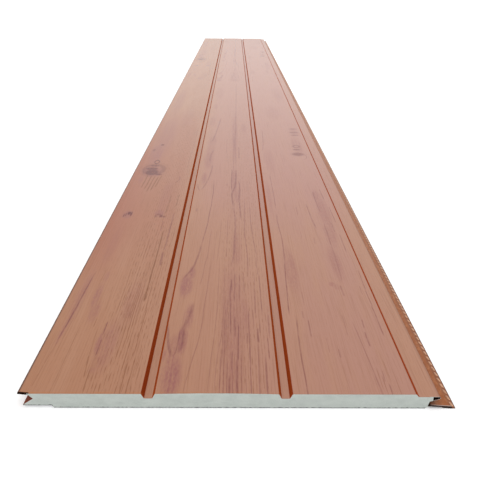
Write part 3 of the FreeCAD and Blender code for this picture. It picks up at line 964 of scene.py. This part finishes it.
def printed_steel(settings):
    """Wood grain on painted steel, with the base coat on the flange, painted shade on steep walls, the step,
    the notch, folded edges, hollow hems and cut ends, and a painted glint near the flange's cut end.
    """
    material, sheet, shader = new_material("printed_steel")
    place = print_place(sheet)
    wood, strands = plain_wood(sheet, place, settings)
    wood = figured_wood(sheet, place, wood, settings)
    wood, walls, notch, flange = coat_and_painted_shade(sheet, wood, place, settings)
    wood, painted_end_shade = cut_ends(sheet, wood, place, settings)

    # The other side of the steel, where it shows, has a grey backing coat.
    x, _, z = sheet.split(place)
    under = sheet.times(sheet.fade(sheet.facing()[2], *UNDER_TILT), sheet.between(x, *BACKING_X))
    wood = sheet.mix(under, wood, settings.backing)
    # Painted shade: the hollow hems, the V and the ends of the lip and flange are painted near-dark.
    painted_dark_shade = sheet.largest(painted_hollow_shade(sheet, x, z), painted_end_shade)
    wood = sheet.mix(painted_dark_shade, wood, settings.hollow)

    # Walls painted as shade shine partly in their own colour, and the places painted near-dark as shade don't
    # shine at all.
    sheet.feed(shader.inputs["Base Color"], wood)
    sheet.feed(shader.inputs["Metallic"], sheet.largest(painted_dark_shade, sheet.times(walls, 0.5)))
    roughness = sheet.ramp(flange, settings.gloss, settings.satin)
    matt = sheet.largest(walls, notch, under, painted_dark_shade)
    sheet.feed(shader.inputs["Roughness"], sheet.ramp(matt, roughness, settings.matt))
    shader.inputs["IOR"].default_value = 1.33
    shader.inputs["Sheen Weight"].default_value = settings.sheen
    shader.inputs["Sheen Roughness"].default_value = 0.5
    shader.inputs["Sheen Tint"].default_value = (*settings.sheen_tint, 1.0)
    sheet.feed(shader.inputs["Normal"], sheet.bump(strands, 0.05, 0.0001))
    return material


def crimp_highlight_paint(settings):
    """Paint on the crimps, painted pale as their highlight, with darker scuffs."""
    material, sheet, shader = new_material("crimp_paint")
    scuffs = sheet.fade(sheet.blotches(sheet.place(MM), SCUFF_SIZE, 3.0), 0.45, 0.75)
    paint = sheet.mix(scuffs, settings.paint, dimmed(settings.paint, 0.6))
    sheet.feed(shader.inputs["Base Color"], paint)
    shader.inputs["Roughness"].default_value = 0.42
    shader.inputs["Specular IOR Level"].default_value = 0.25
    return material


def cut_foam(settings):
    """Rigid foam, cut: fine cells, soft cloudy tone and a ragged dark line along the lower edge."""
    material, sheet, shader = new_material("cut_foam")
    place = sheet.place(settings.cell)
    voronoi = sheet.node("ShaderNodeTexVoronoi", {"Vector": place, "Scale": 1.0}, feature="F1")
    cells = voronoi.outputs["Distance"]
    hollow = sheet.fade(cells, 0.55, 0.15)
    clouds = sheet.fade(sheet.blotches(place, FOAM_CLOUD_SIZE, 3.0), 0.35, 0.70)
    amount = sheet.plus(sheet.times(hollow, 0.30), sheet.times(clouds, 0.40))
    foam = sheet.mix(amount, settings.foam, settings.foam_shade)

    # The saw tears the backing, and the dark line along the lower edge is that torn edge with a painted
    # contact shadow with the floor.
    measured = print_place(sheet)
    x, _, z = sheet.split(measured)
    above = sheet.minus(z, sheet.ramp(sheet.fade(x, *REBATE_END_X), 0.0, REBATE_TOP_Z))
    rags = sheet.line(sheet.blotches(measured, RAG_SIZE, 3.0, 0.7), 0.35, 0.65, 0.25, 1.15)
    torn = sheet.fade(sheet.minus(above, rags), 0.12, -0.12)
    sheet.feed(shader.inputs["Base Color"], sheet.mix(torn, foam, settings.torn))
    shader.inputs["Roughness"].default_value = 0.85
    shader.inputs["Specular IOR Level"].default_value = 0.25
    sheet.feed(shader.inputs["Normal"], sheet.bump(cells, 0.35, 0.0002))
    return material


def creased_foil(settings):
    """Aluminium foil with shallow dents, and fine creases that run mostly along the panel."""
    material, sheet, shader = new_material("creased_foil")
    place = sheet.place(settings.crease)
    dents = sheet.blotches(place, DENT_SIZE, 3.0)
    creases = sheet.fade(sheet.off(sheet.blotches(place, FOLD_SIZE), 0.5), 0.018, 0.0)
    height = sheet.minus(dents, sheet.times(creases, 0.3))
    tone = sheet.mix(sheet.fade(dents, 0.35, 0.70), settings.foil, dimmed(settings.foil, 0.88))
    # Painted shade: the creases are also darkened in colour.
    tone = sheet.mix(sheet.times(creases, 0.4), tone, dimmed(settings.foil, 0.60))
    sheet.feed(shader.inputs["Base Color"], tone)
    shader.inputs["Metallic"].default_value = 1.0
    sheet.feed(shader.inputs["Roughness"], sheet.ramp(dents, 0.22, 0.46))
    sheet.feed(shader.inputs["Normal"], sheet.bump(height, 0.35, 0.0006))
    return material


def put_in_scene(name, data):
    """A new object that shows some data, put in the scene."""
    made = bpy.data.objects.new(name, data)
    bpy.context.scene.collection.objects.link(made)
    return made


def mesh_piece(name, points, faces, material):
    """A new piece from whole arrays of points and faces, riding on the panel."""
    mesh = bpy.data.meshes.new(name)
    mesh.from_pydata(points, [], faces)
    mesh.validate()
    mesh.polygons.foreach_set("use_smooth", np.ones(len(mesh.polygons), dtype=bool))
    mesh.materials.append(material)
    piece = put_in_scene(name, mesh)
    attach(piece, "root")
    return piece


def flange_height(x):
    """Height of the steel's upper side straight below a point over the flange, in metres."""
    start = Vector((x, 0.0, 2.0 * HIGH.z))
    down = Vector((0.0, 0.0, -1.0))
    hit, place, _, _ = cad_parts["face_sheet"].ray_cast(start, down)
    if not hit:
        raise RuntimeError("no steel lies under the row of crimps")
    return place.z


def lozenge(length, width, height, rings=6, sides=8):
    """A closed pressed bump: an oval section carried along its length and shrunk to a point at both ends.

    With s from -1 to 1 along and a round the section, x is half width times cosine a times (1 - s^4)^(1/2),
    y is half the length times s, and z is the height times sine a times the same shrinkage.
    """
    s = np.linspace(-1.0, 1.0, rings + 2)[1:-1]
    a = np.linspace(0.0, 2.0 * np.pi, sides, endpoint=False)
    shrink = np.sqrt(1.0 - s**4)
    x = 0.5 * width * np.outer(shrink, np.cos(a))
    y = 0.5 * length * np.repeat(s[:, None], sides, axis=1)
    z = height * np.outer(shrink, np.sin(a))
    body = np.stack([x, y, z], axis=-1).reshape(-1, 3)
    poles = np.array([[0.0, -0.5 * length, 0.0], [0.0, 0.5 * length, 0.0]])
    points = np.vstack([body, poles])
    ring, side = np.meshgrid(np.arange(rings - 1), np.arange(sides), indexing="ij")
    here = ring * sides + side
    beside = ring * sides + (side + 1) % sides
    quads = np.stack([here, here + sides, beside + sides, beside], axis=-1).reshape(-1, 4)
    edge = np.arange(sides)
    after = (edge + 1) % sides
    last = (rings - 1) * sides
    near_cap = np.stack([edge, after, np.full(sides, rings * sides)], axis=-1)
    far_cap = np.stack([last + after, last + edge, np.full(sides, rings * sides + 1)], axis=-1)
    return points, quads, np.vstack([near_cap, far_cap])


def flange_crimps(settings):
    """The row of pressed crimps: one bump, laid on the flange's slope and copied along its edge.

    The bump's x loses the slant times its y, then its z gains the flange's slope times its x. Copy n stands
    n and a half pitches from the near end.
    """
    points, quads, caps = lozenge(settings.length, settings.width, settings.height)
    middle_x = HIGH.x - settings.edge
    inner_x = middle_x - settings.width
    outer_x = middle_x + 0.5 * settings.width
    slope = (flange_height(outer_x) - flange_height(inner_x)) / (outer_x - inner_x)
    points[:, 0] -= settings.slant * points[:, 1]
    points[:, 2] += slope * points[:, 0]
    count = int(PANEL_LENGTH / settings.pitch)
    along = NEAR_END + settings.pitch * (np.arange(count) + 0.5)
    middle_z = flange_height(middle_x)
    places = np.stack([np.full(count, middle_x), along, np.full(count, middle_z)], axis=-1)
    all_points = (places[:, None, :] + points[None, :, :]).reshape(-1, 3)
    step = (np.arange(count) * len(points))[:, None, None]
    faces = (quads[None] + step).reshape(-1, 4).tolist() + (caps[None] + step).reshape(-1, 3).tolist()
    paint = crimp_highlight_paint(settings)
    return mesh_piece("flange_crimps", all_points.tolist(), faces, paint)


def seen_directly(sheet):
    """1 for rays from the camera, a mirror or through glass, and 0 for rays that only carry light."""
    path = sheet.node("ShaderNodeLightPath", {}).outputs
    return sheet.largest(path["Is Camera Ray"], path["Is Glossy Ray"], path["Is Transmission Ray"])


def white_world(settings):
    """White to look at and in reflections, and a lower even level as light."""
    world = bpy.data.worlds.new("white_surround")
    bpy.context.scene.world = world
    world.use_nodes = True
    sheet = Sheet(world.node_tree)
    background = world.node_tree.nodes["Background"]
    background.inputs["Color"].default_value = (1.0, 1.0, 1.0, 1.0)
    sheet.feed(background.inputs["Strength"], sheet.ramp(seen_directly(sheet), settings.sky, 1.0))


def pale_floor(settings):
    """A wide floor just under the panel: it takes the shadow and looks white in the open.

    It is clear from below, and to light under the panel, so that the back is lit when it is looked at.
    """
    signs = ((-1, -1), (1, -1), (1, 1), (-1, 1))
    corners = [(FLOOR_HALF * across, FLOOR_HALF * along, FLOOR_DROP) for across, along in signs]
    mesh = bpy.data.meshes.new("floor")
    mesh.from_pydata(corners, [], [(0, 1, 2, 3)])
    floor = put_in_scene("floor", mesh)
    material, sheet, shader = new_material("pale_floor")
    shader.inputs["Base Color"].default_value = (*settings.floor, 1.0)
    shader.inputs["Roughness"].default_value = 1.0
    shader.inputs["Specular IOR Level"].default_value = 0.0
    shader.inputs["Emission Color"].default_value = (1.0, 1.0, 1.0, 1.0)
    sheet.feed(shader.inputs["Emission Strength"], sheet.times(seen_directly(sheet), FLOOR_LIFT))
    below = sheet.node("ShaderNodeNewGeometry", {}).outputs["Backfacing"]
    x, y, _ = sheet.split(sheet.place(1.0))
    covered = sheet.times(sheet.between(x, LOW.x, HIGH.x, MM), sheet.between(y, LOW.y, HIGH.y, MM))
    unseen = sheet.minus(1.0, sheet.node("ShaderNodeLightPath", {}).outputs["Is Camera Ray"])
    passing = sheet.largest(below, sheet.times(covered, unseen))
    clear = sheet.node("ShaderNodeBsdfTransparent", {}).outputs["BSDF"]
    inputs = {0: passing, 1: shader.outputs["BSDF"], 2: clear}
    surface = sheet.node("ShaderNodeMixShader", inputs).outputs["Shader"]
    sheet.feed(sheet.tree.nodes["Material Output"].inputs["Surface"], surface)
    mesh.materials.append(material)


def hidden_lamp(name, kind, energy, place):
    """A lamp that stays out of sight and out of reflections: the gloss shows only the white surround."""
    light = bpy.data.lights.new(name, kind)
    light.energy = energy
    lamp = put_in_scene(name, light)
    lamp.location = place
    lamp.visible_glossy = False
    lamp.visible_camera = False
    return lamp


def overhead_lamps(settings):
    """One wide soft lamp overhead, and a fill over the far half of the panel."""
    soft = hidden_lamp("soft_lamp", "SUN", settings.lamp, LAMP_PLACE)
    soft.data.angle = math.radians(LAMP_SPREAD)
    soft.rotation_euler = [math.radians(turn) for turn in LAMP_TILT]
    fill = hidden_lamp("fill_lamp", "AREA", settings.fill, FILL_PLACE)
    fill.data.shape = "RECTANGLE"
    fill.data.size, fill.data.size_y = FILL_SIZE


def photo_camera(settings):
    """The camera behind the near end, looking along the panel and down on it."""
    camera_data = bpy.data.cameras.new("camera")
    camera_data.sensor_fit = "HORIZONTAL"
    camera_data.sensor_width = 36.0
    camera_data.lens = settings.lens
    camera_data.clip_start = 0.01
    camera = put_in_scene("camera", camera_data)
    place = Vector((settings.camera_side, NEAR_END - settings.camera_back, settings.camera_up))
    turn = Matrix.Rotation(-settings.yaw, 4, "Z")
    tilt = Matrix.Rotation(0.5 * math.pi - settings.pitch, 4, "X")
    roll = Matrix.Rotation(settings.roll, 4, "Z")
    camera.matrix_world = Matrix.Translation(place) @ turn @ tilt @ roll
    bpy.context.scene.camera = camera


class SIDING_OT_print_face(bpy.types.Operator):
    """Print the wood grain on the steel face"""

    bl_idname = "siding.print_face"
    bl_label = "Print the face"

    def execute(self, context):
        dress("face_sheet", printed_steel(context.scene.siding_print))
        return {"FINISHED"}


class SIDING_OT_press_crimps(bpy.types.Operator):
    """Press the crimps along the nailing flange"""

    bl_idname = "siding.press_crimps"
    bl_label = "Press the crimps"

    def execute(self, context):
        flange_crimps(context.scene.siding_crimps)
        return {"FINISHED"}


class SIDING_OT_finish_layers(bpy.types.Operator):
    """Finish the foam core and the foil back"""

    bl_idname = "siding.finish_layers"
    bl_label = "Finish foam and foil"

    def execute(self, context):
        dress("foam_core", cut_foam(context.scene.siding_layers))
        dress("backing_foil", creased_foil(context.scene.siding_layers))
        return {"FINISHED"}


class SIDING_OT_set_stage(bpy.types.Operator):
    """Set the floor, the light and the camera"""

    bl_idname = "siding.set_stage"
    bl_label = "Set the stage"

    def execute(self, context):
        settings = context.scene.siding_stage
        context.scene.view_settings.view_transform = "Standard"
        white_world(settings)
        pale_floor(settings)
        overhead_lamps(settings)
        photo_camera(settings)
        return {"FINISHED"}


class SIDING_PT_finishes(bpy.types.Panel):
    """Settings and steps of the siding panel"""

    bl_label = "Siding panel"
    bl_space_type = "VIEW_3D"
    bl_region_type = "UI"
    bl_category = "Siding"

    def draw(self, context):
        for step, group in STEPS:
            box = self.layout.box()
            box.operator(step.bl_idname)
            settings = getattr(context.scene, group)
            for name in settings.__annotations__:
                box.prop(settings, name)


GROUPS = {
    "siding_print": PrintSettings,
    "siding_crimps": CrimpSettings,
    "siding_layers": LayerSettings,
    "siding_stage": StageSettings,
}

STEPS = (
    (SIDING_OT_print_face, "siding_print"),
    (SIDING_OT_press_crimps, "siding_crimps"),
    (SIDING_OT_finish_layers, "siding_layers"),
    (SIDING_OT_set_stage, "siding_stage"),
)

CLASSES = (*GROUPS.values(), *(step for step, _ in STEPS), SIDING_PT_finishes)


def register():
    """Registers the classes and hangs the settings on the scene."""
    for made in CLASSES:
        bpy.utils.register_class(made)
    for name, group in GROUPS.items():
        setattr(bpy.types.Scene, name, bpy.props.PointerProperty(type=group))


def unregister():
    """Takes the settings and classes away again."""
    for name in GROUPS:
        delattr(bpy.types.Scene, name)
    for made in reversed(CLASSES):
        bpy.utils.unregister_class(made)


def main():
    """Builds the looks in order."""
    register()
    bpy.ops.siding.print_face()
    bpy.ops.siding.press_crimps()
    bpy.ops.siding.finish_layers()
    bpy.ops.siding.set_stage()


if __name__ == "__main__":
    main()
